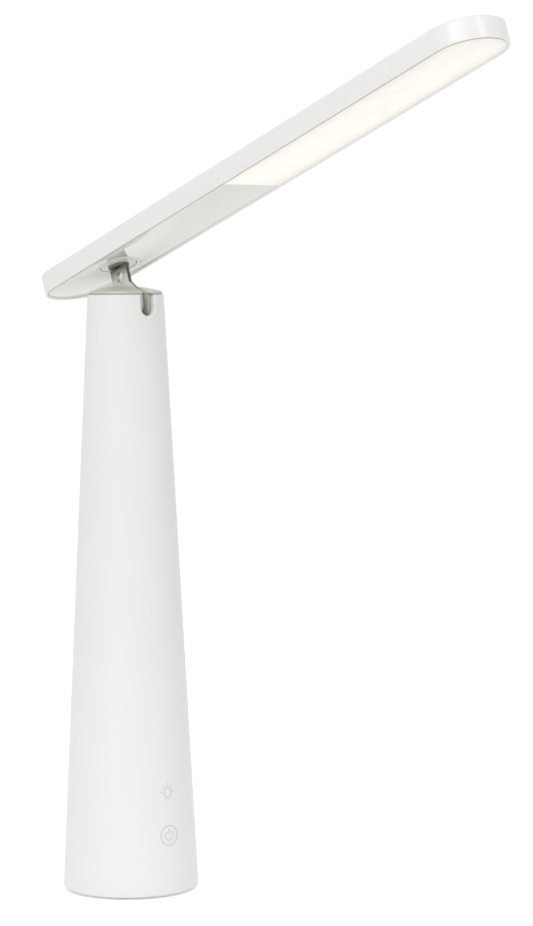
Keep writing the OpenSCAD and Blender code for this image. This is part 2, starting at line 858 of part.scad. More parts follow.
module head_shell() color("#f3f3f1")
    in_head() difference() {
        union() {
            difference() {
                head_form();
                translate([0, 0, -past])
                    linear_extrude(plate_top + past) head_outline(rim_t);
                translate([0, 0, -past])
                    linear_extrude(roof_z + past) head_outline(cavity_inset);
            }
            // ribs that hold the back plate down
            for (y = [panel_start + rib_pitch / 2 : rib_pitch : head_tip - head_corner_r])
                translate([-head_w / 2 + rim_t, -y, rib_z])
                    cube([head_w - 2 * rim_t, rib_t, roof_z + past - rib_z]);
            // bosses for the swivel seat
            seat_screw_places()
                translate([0, 0, seat_z + seat_t])
                    cylinder(r = seat_boss_r, h = roof_z + past / 2 - seat_z - seat_t, $fn = 32);
        }
        seat_screw_places()
            translate([0, 0, seat_z])
                cylinder(r = seat_screw_r, h = roof_z - seat_z - seat_hole_roof, $fn = 32);
    }

module under_cover() color("#dfe0db")
    in_head() translate([0, 0, plate_inset]) linear_extrude(plate_t) difference() {
        head_outline(rim_t + plate_seam);
        translate([-head_w / 2, -head_tip]) square([head_w, head_tip - panel_start]);
        circle(d = ring_d + 2 * slide_gap);
    }

module swivel_ring() color("#e9e9e6")
    in_head() translate([0, 0, plate_inset - ring_proud])
        ring(ring_d / 2, disc_d / 2 + disc_gap, plate_t + ring_proud);

module diffuser() color("#fff6e2")
    in_head() translate([0, 0, plate_inset]) linear_extrude(plate_t)
        panel_outline(rim_t + plate_seam, panel_start + plate_seam);

module light_guide() color("#e8f2f4")
    in_head() translate([0, 0, guide_z]) linear_extrude(guide_t) intersection() {
        panel_outline(cavity_inset + seat_gap, panel_start + panel_margin);
        translate([guide_x, -head_tip]) square([head_w, head_tip]);
    }

module reflector_sheet() color("#ffffff")
    in_head() translate([0, 0, reflector_z]) linear_extrude(reflector_t) intersection() {
        panel_outline(cavity_inset + seat_gap, panel_start + panel_margin);
        translate([guide_x, -head_tip]) square([head_w, head_tip]);
    }

module back_plate() color("#b7babc")
    in_head() translate([0, 0, back_plate_z]) linear_extrude(back_plate_t)
        panel_outline(cavity_inset + seat_gap, panel_start + panel_margin);

module led_strip() color("#f2f2ee")
    in_head() translate([led_x, -led_last - led_len, guide_z + slide_gap])
        cube([led_board_t, led_last - led_first + 2 * led_len + led_board_tail, led_board_h]);

module leds() color("#ffd86b")
    in_head() for (i = [0 : led_count - 1])
        translate([led_x + led_board_t, -led_first - i * led_pitch - led_len / 2,
            guide_z + led_lift])
            cube([led_depth, led_len, led_h]);

module swivel_seat() color("#a9abad")
    in_head() translate([0, 0, seat_z]) difference() {
        translate([-seat_side / 2, -seat_side / 2, 0]) cube([seat_side, seat_side, seat_t]);
        translate([0, 0, -past]) cylinder(r = spigot_d / 2 + run_fit, h = seat_t + 2 * past);
        seat_screw_places()
            translate([0, 0, -past])
                cylinder(r = seat_screw_r + screw_clear, h = seat_t + 2 * past, $fn = 32);
    }

module seat_screws() color("#b4b6b8")
    in_head() seat_screw_places()
        translate([0, 0, seat_z])
            screw(seat_screw_r, roof_z - seat_z - seat_screw_short, seat_head_r, seat_head_h);

module head_lead() color("#f5f5f2") {
    high = rib_z + head_lead_lift;
    end_x = led_x + wire_d / 2;
    run_x = end_x + head_lead_aside;
    end_y = led_len - led_first + led_board_tail / 2;
    in_head() wire([[-1, -clip_r - head_lead_start, high], [run_x, head_lead_turn_y, high],
        [run_x, end_y + head_lead_slant, high], [end_x, end_y, high],
        [end_x, end_y, guide_z + slide_gap + led_board_h]], wire_d);
}

column_shell();
top_cap();
hinge_block();
hinge_pin();
friction_washers();
spring_washers();
hinge_screws();
foot_pad();
base_cover();
base_screws();
base_weight();
battery_holder();
holder_screws();
battery_cells();
cell_tab();
battery_leads();
touch_lead();
control_board();
charging_socket();
touch_board();
touch_pads();
main_lead();
hinge_arm();
arm_lead();
swivel_collar();
swivel_disc();
swivel_washer();
swivel_spring();
swivel_clip();
head_shell();
under_cover();
swivel_ring();
diffuser();
light_guide();
reflector_sheet();
back_plate();
led_strip();
leds();
swivel_seat();
seat_screws();
head_lead();
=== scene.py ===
import json
import math

import bmesh
import bpy
from mathutils import Matrix, Vector


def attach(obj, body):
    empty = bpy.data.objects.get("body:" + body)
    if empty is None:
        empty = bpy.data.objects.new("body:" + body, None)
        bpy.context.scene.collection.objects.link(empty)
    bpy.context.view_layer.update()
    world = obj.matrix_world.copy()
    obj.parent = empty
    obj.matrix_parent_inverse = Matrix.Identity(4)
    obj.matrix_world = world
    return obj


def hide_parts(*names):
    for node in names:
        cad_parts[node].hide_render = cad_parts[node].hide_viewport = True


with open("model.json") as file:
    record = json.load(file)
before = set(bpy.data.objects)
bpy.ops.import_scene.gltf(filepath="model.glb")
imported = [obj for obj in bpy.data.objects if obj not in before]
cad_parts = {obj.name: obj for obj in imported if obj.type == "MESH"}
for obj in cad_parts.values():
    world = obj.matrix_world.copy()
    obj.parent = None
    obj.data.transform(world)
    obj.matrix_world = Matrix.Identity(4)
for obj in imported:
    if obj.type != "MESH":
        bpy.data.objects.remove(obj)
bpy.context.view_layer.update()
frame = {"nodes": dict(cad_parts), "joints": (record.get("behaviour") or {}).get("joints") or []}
nodes = frame["nodes"]
joints = {joint["name"]: joint for joint in frame["joints"]}
mm = 0.001
mergeGap = 0.001 * mm        # points closer than this become one
creaseAngle = 35             # degrees; flatter edges are shaded smooth
scene = bpy.context.scene
print("frame loaded:", len(nodes), "nodes")

# the arm and the head are built level and then tilted back into place
headUp = Vector(joints["swivel"]["axis"]).normalized()
sideways = Vector((1, 0, 0))
tailward = headUp.cross(sideways)
tiltedAxes = Matrix((sideways, tailward, headUp)).transposed().to_4x4()
headFrame = Matrix.Translation(Vector(joints["swivel"]["pos_m"])) @ tiltedAxes
toHead = headFrame.inverted()
headTilt = math.atan2(headUp.y, headUp.z)


# camera, floor and light

photoView = {
    "imageHeight": 926,          # the frame's longer side, in pixels
    "focalPixels": 2779.56,
    "place": (-0.7670, -1.0557, 0.28306),
    "turnRight": 38.8736,        # degrees, from facing the back wall
    "lookDown": 3.618,
    "lean": -0.3608,
    "sensor": 36.0,
    "clipStart": 0.05,
    "clipEnd": 60,
}


def placeCamera(view):
    data = bpy.data.cameras.new("photoCamera")
    data.sensor_fit = "AUTO"
    data.sensor_width = view["sensor"]
    data.lens = view["focalPixels"] / view["imageHeight"] * view["sensor"]
    data.clip_start = view["clipStart"]
    data.clip_end = view["clipEnd"]
    camera = bpy.data.objects.new("photoCamera", data)
    turn = Matrix.Rotation(math.radians(-view["turnRight"]), 4, "Z")
    pitch = Matrix.Rotation(math.radians(90 - view["lookDown"]), 4, "X")
    lean = Matrix.Rotation(math.radians(view["lean"]), 4, "Z")
    camera.matrix_world = Matrix.Translation(view["place"]) @ turn @ pitch @ lean
    scene.collection.objects.link(camera)
    scene.camera = camera


placeCamera(photoView)

studio = {
    "floorSize": 14.0,
    "floorColour": (0.86, 0.86, 0.86),
    "floorLift": 0.42,           # what the floor adds in plain view, so that it comes out white
    "skyLevel": 0.70,            # the room's light on the lamp
    "skyColour": (1.0, 0.996, 0.972),
    "backdropLevel": 1.0,
    "backdropColour": (1.0, 1.0, 1.0),
}

# soft boxes: where they stand, what they face, their width, height and watts
softBoxes = {
    "keyBox": {"place": (-1.84, -1.06, 1.52), "aim": (0, 0, 0.2), "size": (1.6, 1.2), "watts": 16.5},
    "leftStrip": {"place": (-1.35, -0.55, 1.0), "aim": (0, -0.25, 0.38), "size": (0.05, 0.5), "watts": 0.8},
    "frontStrip": {"place": (0.27, -1.40, 1.30), "aim": (0, -0.25, 0.38), "size": (0.3, 0.5), "watts": 2.6},
}

# soft spots that lift the foot of the column, alike but for where they stand
footSpot = {"aim": (0, 0, 0), "cone": 12, "watts": 5.5, "softness": 0.1, "blend": 1.0}
footSpotPlaces = {"footSpotRight": (0.40, -1.10, 0.42), "footSpotLeft": (-1.15, -0.25, 0.40)}


def addNode(tree, kind, **settings):
    node = tree.nodes.new(kind)
    for key, value in settings.items():
        setattr(node, key, value)
    return node


def addMath(tree, operation, *values):
    # a Math node, fed with sockets or plain numbers
    node = addNode(tree, "ShaderNodeMath", operation=operation)
    for socket, value in zip(node.inputs, values):
        if isinstance(value, bpy.types.NodeSocket):
            tree.links.new(value, socket)
        else:
            socket.default_value = value
    return node.outputs[0]


def addBlend(tree, factor, first, second):
    # a Mix node from one colour to another, each a socket or an (r, g, b)
    node = addNode(tree, "ShaderNodeMix", data_type="RGBA")
    tree.links.new(factor, node.inputs["Factor"])
    for socket, colour in ((node.inputs[6], first), (node.inputs[7], second)):    # its two colours
        if isinstance(colour, tuple):
            socket.default_value = (*colour, 1)
        else:
            tree.links.new(colour, socket)
    return node.outputs[2]


def seenByEye(tree):
    # 1 where the camera, a reflection or clear plastic looks, 0 where light bounces
    path = addNode(tree, "ShaderNodeLightPath").outputs
    seen = addMath(tree, "MAXIMUM", path["Is Camera Ray"], path["Is Glossy Ray"])
    return addMath(tree, "MAXIMUM", seen, path["Is Transmission Ray"])


def makeFloor(look):
    half = look["floorSize"] / 2
    bm = bmesh.new()
    corners = [bm.verts.new((x * half, y * half, 0)) for x, y in ((-1, -1), (1, -1), (1, 1), (-1, 1))]
    bm.faces.new(corners)
    mesh = bpy.data.meshes.new("studioFloor")
    bm.to_mesh(mesh)
    bm.free()
    floor = bpy.data.objects.new("studioFloor", mesh)
    scene.collection.objects.link(floor)
    paint = bpy.data.materials.new("paleFloor")
    paint.use_nodes = True
    tree = paint.node_tree
    tree.nodes.clear()
    matt = addNode(tree, "ShaderNodeBsdfDiffuse")
    matt.inputs["Color"].default_value = (*look["floorColour"], 1)
    glow = addNode(tree, "ShaderNodeEmission")
    both = addNode(tree, "ShaderNodeAddShader")
    end = addNode(tree, "ShaderNodeOutputMaterial")
    lift = addMath(tree, "MULTIPLY", seenByEye(tree), look["floorLift"])
    tree.links.new(lift, glow.inputs["Strength"])
    tree.links.new(matt.outputs[0], both.inputs[0])
    tree.links.new(glow.outputs[0], both.inputs[1])
    tree.links.new(both.outputs[0], end.inputs["Surface"])
    mesh.materials.append(paint)


def makeRoomLight(look):
    world = bpy.data.worlds.new("softRoom")
    world.use_nodes = True
    tree = world.node_tree
    sky = tree.nodes["Background"]
    eye = seenByEye(tree)
    more = look["backdropLevel"] - look["skyLevel"]      # what the eye sees beyond the room's light
    level = addMath(tree, "MULTIPLY_ADD", eye, more, look["skyLevel"])
    tint = addBlend(tree, eye, look["skyColour"], look["backdropColour"])
    tree.links.new(level, sky.inputs["Strength"])
    tree.links.new(tint, sky.inputs["Color"])
    scene.world = world


def hangLight(name, data, look):
    data.energy = look["watts"]
    light = bpy.data.objects.new(name, data)
    place = Vector(look["place"])
    facing = (Vector(look["aim"]) - place).to_track_quat("-Z", "Y").to_matrix().to_4x4()
    light.matrix_world = Matrix.Translation(place) @ facing
    scene.collection.objects.link(light)


def hangSoftBox(name, look):
    data = bpy.data.lights.new(name, "AREA")
    data.shape = "RECTANGLE"
    data.size, data.size_y = look["size"]
    hangLight(name, data, look)


def hangSpot(name, look):
    data = bpy.data.lights.new(name, "SPOT")
    data.spot_size = math.radians(look["cone"])
    data.spot_blend = look["blend"]
    data.shadow_soft_size = look["softness"]
    hangLight(name, data, look)


makeFloor(studio)
makeRoomLight(studio)
for boxName, box in softBoxes.items():
    hangSoftBox(boxName, box)
for spotName, place in footSpotPlaces.items():
    hangSpot(spotName, {**footSpot, "place": place})
scene.view_settings.view_transform = "Standard"
print("camera, floor and lights placed")


# finishes

class Finish:
    # a material's node tree, with short ways to add what the finishes share

    def __init__(self, name):
        self.material = bpy.data.materials.new(name)
        self.material.use_nodes = True
        self.tree = self.material.node_tree
        self.shader = self.tree.nodes["Principled BSDF"]
        self.coords = self.add("ShaderNodeTexCoord").outputs["Object"]

    def add(self, kind, **settings):
        return addNode(self.tree, kind, **settings)

    def calc(self, operation, *values):
        return addMath(self.tree, operation, *values)

    def link(self, source, target):
        self.tree.links.new(source, target)

    def mapped(self, place=(0, 0, 0), turn=(0, 0, 0), scale=(1, 1, 1), kind="POINT"):
        node = self.add("ShaderNodeMapping", vector_type=kind)
        node.inputs["Location"].default_value = place
        node.inputs["Rotation"].default_value = turn
        node.inputs["Scale"].default_value = scale
        self.link(self.coords, node.inputs["Vector"])
        return node.outputs["Vector"]

    def noise(self, scale, detail=2.0, roughness=0.5, vector=None):
        node = self.add("ShaderNodeTexNoise")
        node.inputs["Scale"].default_value = scale
        node.inputs["Detail"].default_value = detail
        node.inputs["Roughness"].default_value = roughness
        self.link(vector or self.coords, node.inputs["Vector"])
        return node.outputs["Fac"]

    def spread(self, value, low, high, start=0.3, end=0.7):
        # stretches a texture's usual range to low ... high
        node = self.add("ShaderNodeMapRange")
        node.inputs["From Min"].default_value = start
        node.inputs["From Max"].default_value = end
        node.inputs["To Min"].default_value = low
        node.inputs["To Max"].default_value = high
        self.link(value, node.inputs["Value"])
        return node.outputs["Result"]

    def blend(self, factor, first, second):
        return addBlend(self.tree, factor, first, second)

    def marked(self, face, attribute, colour):
        # another colour on the faces that an attribute marks
        mark = self.add("ShaderNodeAttribute", attribute_name=attribute)
        return self.blend(mark.outputs["Fac"], face, colour)

    def alongHead(self):
        # coordinates in the head's own tilted frame
        return self.mapped(place=tuple(headFrame.translation), turn=(-headTilt, 0, 0), kind="TEXTURE")

    def bump(self, height, strength, depth):
        node = self.add("ShaderNodeBump")
        node.inputs["Strength"].default_value = strength
        node.inputs["Distance"].default_value = depth
        self.link(height, node.inputs["Height"])
        self.link(node.outputs["Normal"], self.shader.inputs["Normal"])

    def set(self, **values):
        for title, value in values.items():
            self.shader.inputs[title].default_value = value


# what a plastic is like, unless its own line below says otherwise
usualPlastic = {
    "cloudScale": 22,            # slight clouds in its colour
    "cloudDepth": 0.03,
    "wearScale": 90,             # slight clouds in its gloss
    "wear": 0.04,
    "grainScale": 3200,          # the fine grain of its mould
    "grainStrength": 0.15,
    "grainDepth": 0.02 * mm,
    "ior": 1.5,
    "specular": 0.5,
    "sheen": 0,
}


def mouldedPlastic(name, ownLook):
    look = {**usualPlastic, **ownLook}
    made = Finish(name)
    colour = Vector(look["colour"])
    clouds = made.spread(made.noise(look["cloudScale"], detail=3), 0, 1)
    shade = colour * (1 - look["cloudDepth"])
    face = made.blend(clouds, tuple(shade), tuple(colour))
    if "marked" in look:
        face = made.marked(face, *look["marked"])
    made.link(face, made.shader.inputs["Base Color"])
    rough, wear = look["roughness"], look["wear"]
    gloss = made.spread(made.noise(look["wearScale"], detail=4), rough - wear, rough + wear)
    made.link(gloss, made.shader.inputs["Roughness"])
    grain = made.noise(look["grainScale"], detail=2, roughness=0.6)
    made.bump(grain, look["grainStrength"], look["grainDepth"])
    made.set(**{"IOR": look["ior"], "Specular IOR Level": look["specular"], "Sheen Weight": look["sheen"]})
    return made.material


# the same for a metal, brushed in fine streaks along one axis
usualMetal = {
    "along": "z",
    "streakScale": 120,
    "streakDepth": 0.10,         # in its colour
    "streakStrength": 0.12,      # in its surface
    "streakHeight": 0.02 * mm,
    "stretch": 30,               # how much longer than wide a streak is
    "wear": 0.07,
    "metallic": 1.0,
}


def brushedMetal(name, ownLook):
    look = {**usualMetal, **ownLook}
    made = Finish(name)
    scale = [1 if axis == look["along"] else look["stretch"] for axis in "xyz"]
    streaks = made.noise(look["streakScale"], detail=3, roughness=0.7, vector=made.mapped(scale=scale))
    colour = Vector(look["colour"])
    dark = tuple(colour * (1 - look["streakDepth"]))
    face = made.blend(made.spread(streaks, 0, 1), dark, tuple(colour))
    if "marked" in look:
        face = made.marked(face, *look["marked"])
    # painted shade: the colour is fully shaded at the start height and plain again at the end height
    if "shade" in look:
        shade = look["shade"]
        split = made.add("ShaderNodeSeparateXYZ")
        made.link(made.alongHead() if shade["tilted"] else made.coords, split.inputs[0])
        amount = made.spread(split.outputs["Z"], 1, 0, shade["start"], shade["end"])
        face = made.blend(amount, face, shade["colour"])
    made.link(face, made.shader.inputs["Base Color"])
    rough, wear = look["roughness"], look["wear"]
    made.link(made.spread(streaks, rough - wear, rough + wear), made.shader.inputs["Roughness"])
    made.bump(streaks, look["streakStrength"], look["streakHeight"])
    made.set(Metallic=look["metallic"])
    return made.material


def litPanel(name, look):
    # the lit diffuser: warm white, dimmer at its edges, with faint ribs along the diodes' side
    made = Finish(name)
    split = made.add("ShaderNodeSeparateXYZ")
    made.link(made.alongHead(), split.inputs[0])
    across, along, calc = split.outputs["X"], split.outputs["Y"], made.calc
    # distance from the panel's middle line, round its tip too
    beyond = calc("MAXIMUM", calc("SUBTRACT", calc("MULTIPLY", along, -1.0), look["tipStart"]), 0.0)
    reach = calc("SQRT", calc("ADD", calc("MULTIPLY", across, across), calc("MULTIPLY", beyond, beyond)))
    edge = made.spread(reach, 0, 1, look["halfWidth"] - look["fade"], look["halfWidth"])
    edge = calc("POWER", edge, look["fadePower"])
    ribs = calc("SINE", calc("MULTIPLY", along, 2 * math.pi / look["ribPitch"]))
    ribShade = calc("MULTIPLY", made.spread(ribs, 0, 1, -1, 1), edge)
    farSide = made.spread(across, 0, 1, look["farStart"], look["farEnd"])
    nearColour = made.blend(ribShade, look["near"], look["rib"])
    edgeColour = made.blend(farSide, nearColour, look["far"])
    made.link(made.blend(edge, look["middle"], edgeColour), made.shader.inputs["Emission Color"])
    made.set(**{"Emission Strength": look["strength"], "Base Color": (*look["base"], 1), "IOR": look["ior"]})
    worn = made.spread(made.noise(look["wearScale"], detail=3), *look["gloss"])
    made.link(worn, made.shader.inputs["Roughness"])
    made.bump(made.noise(look["grainScale"], detail=2), look["grainStrength"], look["grainDepth"])
    return made.material


def clearGuide(name, look):
    # clear acrylic with a fine field of printed dots
    made = Finish(name)
    dots = made.add("ShaderNodeTexVoronoi", feature="F1")
    dots.inputs["Scale"].default_value = look["dotScale"]
    made.link(made.coords, dots.inputs["Vector"])
    printed = made.spread(dots.outputs["Distance"], 1, 0, *look["dotEdge"])
    made.link(made.blend(printed, look["colour"], look["dotColour"]), made.shader.inputs["Base Color"])
    made.link(made.spread(printed, *look["gloss"], 0, 1), made.shader.inputs["Roughness"])
    made.set(**{"Transmission Weight": look["clear"], "IOR": look["ior"]})
    return made.material


plastics = {
    "white_shell": {
        "colour": (0.83, 0.83, 0.825), "roughness": 0.42, "grainScale": 2600, "cloudDepth": 0.015,
    },
    "white_gloss": {
        "colour": (0.85, 0.855, 0.82), "roughness": 0.09, "grainStrength": 0.02, "cloudDepth": 0.01,
        "ior": 1.75,
    },
    # painted light: the bead's white is paler against the shade in its corner with the plate; its outward
    # faces carry painted shadow of the seam's gap
    "bead_gloss": {
        "colour": (0.97, 0.97, 0.945), "roughness": 0.2, "grainStrength": 0.02, "cloudDepth": 0.01,
        "marked": ("seam", (0.58, 0.57, 0.53)),
    },
    "dark_nylon": {"colour": (0.22, 0.215, 0.185), "roughness": 0.5},
    "washer_nylon": {"colour": (0.66, 0.60, 0.46), "roughness": 0.5},
    "foot_rubber": {
        "colour": (0.62, 0.62, 0.60), "roughness": 0.8, "grainStrength": 0.5, "grainDepth": 0.1 * mm,
    },
    "cover_plastic": {"colour": (0.74, 0.74, 0.72), "roughness": 0.5, "grainStrength": 0.3},
    "holder_plastic": {"colour": (0.065, 0.07, 0.075), "roughness": 0.55, "grainStrength": 0.35},
    "cell_sleeve": {"colour": (0.05, 0.21, 0.45), "roughness": 0.3, "grainStrength": 0.08},
    "board_green": {"colour": (0.028, 0.2, 0.075), "roughness": 0.35, "cloudScale": 260, "cloudDepth": 0.25},
    "pad_foam": {"colour": (0.09, 0.095, 0.1), "roughness": 0.85, "grainScale": 1500, "grainStrength": 0.8},
    "lead_white": {"colour": (0.80, 0.80, 0.77), "roughness": 0.4, "sheen": 0.1},
    "lead_red": {"colour": (0.55, 0.06, 0.045), "roughness": 0.4, "sheen": 0.1},
    "reflector_white": {"colour": (0.88, 0.88, 0.88), "roughness": 0.6, "grainScale": 1200},
    "led_white": {"colour": (0.85, 0.66, 0.25), "roughness": 0.35, "cloudScale": 500, "cloudDepth": 0.2},
}

metals = {
    "cap_metal": {
        "colour": (0.60, 0.60, 0.555), "roughness": 0.42, "along": "x", "streakScale": 60, "metallic": 0.35,
        # painted shade: the flange darkens towards its lower edge, where the cap meets the column's rim
        "shade": {"tilted": False, "start": 280.2 * mm, "end": 281.1 * mm, "colour": (0.36, 0.36, 0.325)},
        # painted light: the dome and the slot's walls take a paler colour against the shade of the head and
        # the blade
        "marked": ("paler", (0.93, 0.93, 0.87)),
    },
    "arm_metal": {
        "colour": (0.74, 0.75, 0.68), "roughness": 0.38, "along": "z", "streakScale": 90,
        # painted shade and dark reflection on the blade's cut edges
        "metallic": 0.5, "marked": ("cutEdgeShade", (0.13, 0.125, 0.105)),
        # painted shade: the blade darkens towards its top, under the collar and the head
        "shade": {"tilted": True, "start": -0.9 * mm, "end": -6.4 * mm, "colour": (0.17, 0.165, 0.14)},
    },
    "hinge_metal": {"colour": (0.78, 0.76, 0.71), "roughness": 0.55, "along": "z", "metallic": 0.15},
    "bright_steel": {"colour": (0.58, 0.59, 0.60), "roughness": 0.25, "streakDepth": 0.06},
    "weight_steel": {"colour": (0.20, 0.205, 0.21), "roughness": 0.5, "streakDepth": 0.3, "streakScale": 30},
    "tab_metal": {"colour": (0.62, 0.62, 0.58), "roughness": 0.3, "along": "x"},
    "socket_metal": {"colour": (0.50, 0.51, 0.53), "roughness": 0.22, "along": "y"},
    "plate_metal": {"colour": (0.52, 0.53, 0.54), "roughness": 0.34, "along": "y"},
}

panelLight = {
    "halfWidth": 16.4 * mm,
    "tipStart": 253.5 * mm,      # where the head's rounded tip begins
    "fade": 8.5 * mm,            # how far in from its edge the panel dims
    "fadePower": 1.6,
    "farStart": -2 * mm,         # where the far side's tone takes over, across the head
    "farEnd": 6 * mm,
    "ribPitch": 1.4 * mm,
    "middle": (1.0, 0.965, 0.90),
    "near": (0.88, 0.83, 0.72),
    "rib": (0.70, 0.66, 0.54),
    "far": (0.80, 0.79, 0.73),
    "strength": 0.65,
    "base": (0.25, 0.25, 0.24),
    "ior": 1.49,
    "gloss": (0.3, 0.42),
    "wearScale": 140,
    "grainScale": 2600,
    "grainStrength": 0.1,
    "grainDepth": 0.01 * mm,
}

acrylic = {
    "colour": (0.82, 0.90, 0.92),
    "dotColour": (0.9, 0.9, 0.9),
    "dotScale": 900,
    "dotEdge": (0.2, 0.3),
    "gloss": (0.06, 0.5),
    "clear": 0.8,
    "ior": 1.49,
}

# the head's own white, a little glossier than the column, with painted light on its lip, which is paler as if
# lit by the panel's spill
headPlastic = {
    "colour": (0.835, 0.835, 0.83),
    "roughness": 0.25,
    "specular": 0.38,
    "grainStrength": 0.05,
    "cloudDepth": 0.01,
    "marked": ("lip", (0.93, 0.93, 0.915)),
}

finishes = {name: mouldedPlastic(name + "Finish", look) for name, look in plastics.items()}
finishes["head_plastic"] = mouldedPlastic("headPlasticFinish", headPlastic)
finishes.update({name: brushedMetal(name + "Finish", look) for name, look in metals.items()})
finishes["panel_diffuser"] = litPanel("litPanelFinish", panelLight)
finishes["guide_clear"] = clearGuide("clearGuideFinish", acrylic)

for node in nodes.values():
    for slotIndex, material in enumerate(node.data.materials):
        node.data.materials[slotIndex] = finishes[material.name.split(".")[0]]
print("finishes made:", len(finishes))


# ways to make a piece

def pieceFromMesh(name, bm, slotName):
    # ends a mesh: merged, facing outwards and with its finish
    bmesh.ops.remove_doubles(bm, verts=bm.verts, dist=mergeGap)
    bmesh.ops.recalc_face_normals(bm, faces=bm.faces)
    mesh = bpy.data.meshes.new(name)
    bm.to_mesh(mesh)
    bm.free()
    mesh.materials.append(finishes[slotName])
    piece = bpy.data.objects.new(name, mesh)
    scene.collection.objects.link(piece)
    return piece


def smoothPiece(piece):
    # smooth shading, with a crease wherever two faces meet at more than the crease angle
    piece.data.polygons.foreach_set("use_smooth", [True] * len(piece.data.polygons))
    piece.data.set_sharp_from_angle(angle=math.radians(creaseAngle))


def softenEdges(piece, width, steps, angle):
    # rounds every edge sharper than the angle, and applies it
    bevel = piece.modifiers.new("softEdges", "BEVEL")
    bevel.width = width
    bevel.segments = steps
    bevel.limit_method = "ANGLE"
    bevel.angle_limit = math.radians(angle)
    bevel.harden_normals = False
    bevel.use_clamp_overlap = True
    applyModifiers(piece)


def applyModifiers(piece):
    depsgraph = bpy.context.evaluated_depsgraph_get()
    mesh = bpy.data.meshes.new_from_object(piece.evaluated_get(depsgraph))
    piece.modifiers.clear()
    piece.data = mesh


def joinStrip(bm, first, second):
    for i in range(len(first) - 1):
        bm.faces.new((first[i], first[i + 1], second[i + 1], second[i]))


def joinLoop(bm, first, second):
    joinStrip(bm, first + first[:1], second + second[:1])


def barBetween(name, slotName, near, far):
    # a closed bar from one outline to the other
    bm = bmesh.new()
    near = [bm.verts.new(point) for point in near]
    far = [bm.verts.new(point) for point in far]
    bm.faces.new(near)
    bm.faces.new(far)
    joinLoop(bm, near, far)
    return pieceFromMesh(name, bm, slotName)


def cutAway(piece, cutter):
    cut = piece.modifiers.new("cut", "BOOLEAN")
    cut.operation = "DIFFERENCE"
    cut.solver = "EXACT"
    cut.object = cutter
    applyModifiers(piece)
    bpy.data.objects.remove(cutter)


def markFaces(piece, attribute, rule):
    # gives each face a number that its finish reads
    marks = piece.data.attributes.new(attribute, "FLOAT", "FACE")
    marks.data.foreach_set("value", [float(rule(face)) for face in piece.data.polygons])


def finishPiece(piece, body, slotName, *stoodFor):
    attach(piece, body)
    if stoodFor:
        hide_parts(*stoodFor)


# column: a tapered wall with a U-shaped slot at the front of its rim

columnShape = {
    "height": 280 * mm,
    "footRadius": 31.99 * mm,    # where the taper would meet the table
    "rimRadius": 17.8 * mm,
    "wall": 3 * mm,
    "stand": 1 * mm,             # height of its lower edge above the table
    "footEdge": 1 * mm,
    "slotHalf": 3.8 * mm,
    "slotMiddle": 273.93 * mm,   # height where the slot's round bottom begins
    "slotEdge": 0.9 * mm,        # rounding of the slot's outer edge
    "slotMargin": 2.5 * mm,      # below the slot, where its denser rows begin
    "softEdge": 0.25 * mm,       # rounding of every edge sharper than the soft angle
    "softSteps": 2,
    "softAngle": 50,
    "sideColumns": 168,
    "slotColumns": 24,
    "lowRows": 30,
    "slotRows": 10,
    "topRows": 5,
    "edgeSteps": 6,
}

# the charging port's opening, cut between two depths, which are shares of the foot's radius
portHole = {
    "middle": 23.2 * mm,
    "width": 9.5 * mm,
    "height": 3.7 * mm,
    "steps": 16,
    "near": 0.7,
    "far": 1.2,
}


def columnRadius(shape, z, inset=0.0):
    slope = (shape["footRadius"] - shape["rimRadius"]) / shape["height"]
    return shape["footRadius"] - slope * z - inset


def wallGrid(bm, shape, inset, opening):
    # one skin of the column, with the slot left open: columns of points and the slot's edge
    half = shape["slotHalf"] + opening
    middle, top = shape["slotMiddle"], shape["height"]
    start = middle - half - shape["slotMargin"]
    foot = shape["stand"] + (shape["footEdge"] if inset == 0 else 0)
    slotColumns, sideColumns = shape["slotColumns"], shape["sideColumns"]
    lowRows, slotRows, topRows = shape["lowRows"], shape["slotRows"], shape["topRows"]

    def point(x, z, turn=None):
        radius = columnRadius(shape, z, inset)
        angle = math.asin(x / radius) if turn is None else turn
        return bm.verts.new((radius * math.sin(angle), -radius * math.cos(angle), z))

    def heights(arcZ):
        lowPart = [foot + (start - foot) * (row / lowRows) for row in range(lowRows + 1)]
        return lowPart + [start + (arcZ - start) * row / slotRows for row in range(1, slotRows + 1)]

    grid = []
    for column in range(1, slotColumns):     # under the slot, from its left edge to its right
        swing = math.pi * column / slotColumns
        x, arcZ = -half * math.cos(swing), middle - half * math.sin(swing)
        grid.append([point(x, z) for z in heights(arcZ)])
    upper = [middle + (top - middle) * row / topRows for row in range(1, topRows + 1)]
    for column in range(sideColumns + 1):    # round the back, from the slot's right edge to its left
        share = column / sideColumns
        line = []
        for z in heights(middle) + upper:
            edge = math.asin(half / columnRadius(shape, z, inset))
            line.append(point(0, z, edge + (2 * math.pi - 2 * edge) * share))
        grid.append(line)
    # the slot's edge: down its left side, round its bottom and up its right side
    arcRow = lowRows + slotRows
    left, right = grid[-1], grid[slotColumns - 1]
    rim = left[:arcRow - 1:-1] + [grid[i][arcRow] for i in range(slotColumns - 1)] + right[arcRow:]
    return grid, rim


def joinGrid(bm, grid, flip):
    count = len(grid)
    for i in range(count):
        first, second = grid[i], grid[(i + 1) % count]
        for row in range(min(len(first), len(second)) - 1):
            corners = (first[row], second[row], second[row + 1], first[row + 1])
            bm.faces.new(corners[::-1] if flip else corners)


